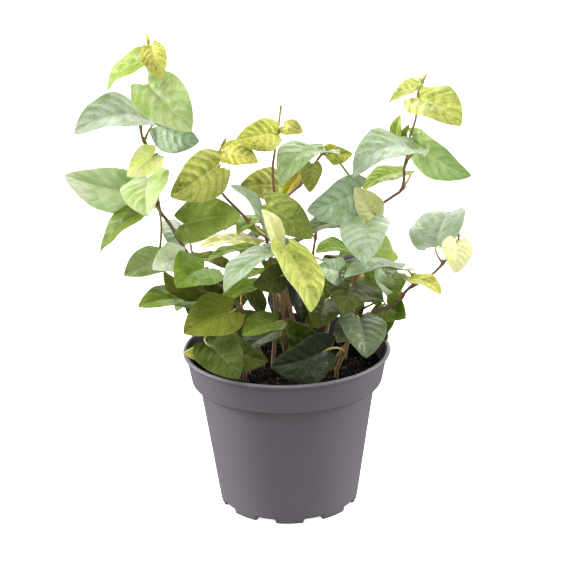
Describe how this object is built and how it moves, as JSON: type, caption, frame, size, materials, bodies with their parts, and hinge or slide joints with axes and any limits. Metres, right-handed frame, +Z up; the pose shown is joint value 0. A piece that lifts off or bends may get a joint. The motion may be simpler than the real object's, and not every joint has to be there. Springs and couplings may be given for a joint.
{
  "type": "potted creeping fig",
  "caption": "Small trailing fig plant with leafy stems growing from soil in a round grey nursery pot.",
  "frame": {"origin": "on the pot's axis, in the plane of the pot's feet", "axes": "+Z up along the pot's axis, -Y towards the side that the picture shows, +X to its right"},
  "size_m": [0.2213, 0.1904, 0.2821],
  "materials": {
    "pot": "moulded grey polypropylene, satin",
    "soil": "dark peat potting soil, crumbly and matt",
    "foliage": "fresh green leaves with a soft waxy sheen, on thin brown stems"
  },
  "bodies": {
    "root": {"pot": "pot", "soil": "soil", "leafy_stem_left_tall": "foliage", "leafy_stem_left_low": "foliage", "leafy_stem_centre_left": "foliage", "leafy_stem_centre_up": "foliage", "leafy_stem_centre_right": "foliage", "leafy_stem_right_tall": "foliage", "leafy_stem_right_low": "foliage", "leafy_stem_front_low": "foliage", "leafy_stem_front_centre": "foliage", "leafy_stem_right_front": "foliage", "leafy_stem_back_left": "foliage", "leafy_stem_back_middle": "foliage", "leafy_stem_back_right": "foliage", "leafy_stem_back_high": "foliage", "leafy_stem_side_left": "foliage", "leafy_stem_side_right": "foliage"}
  },
  "joints": []
}
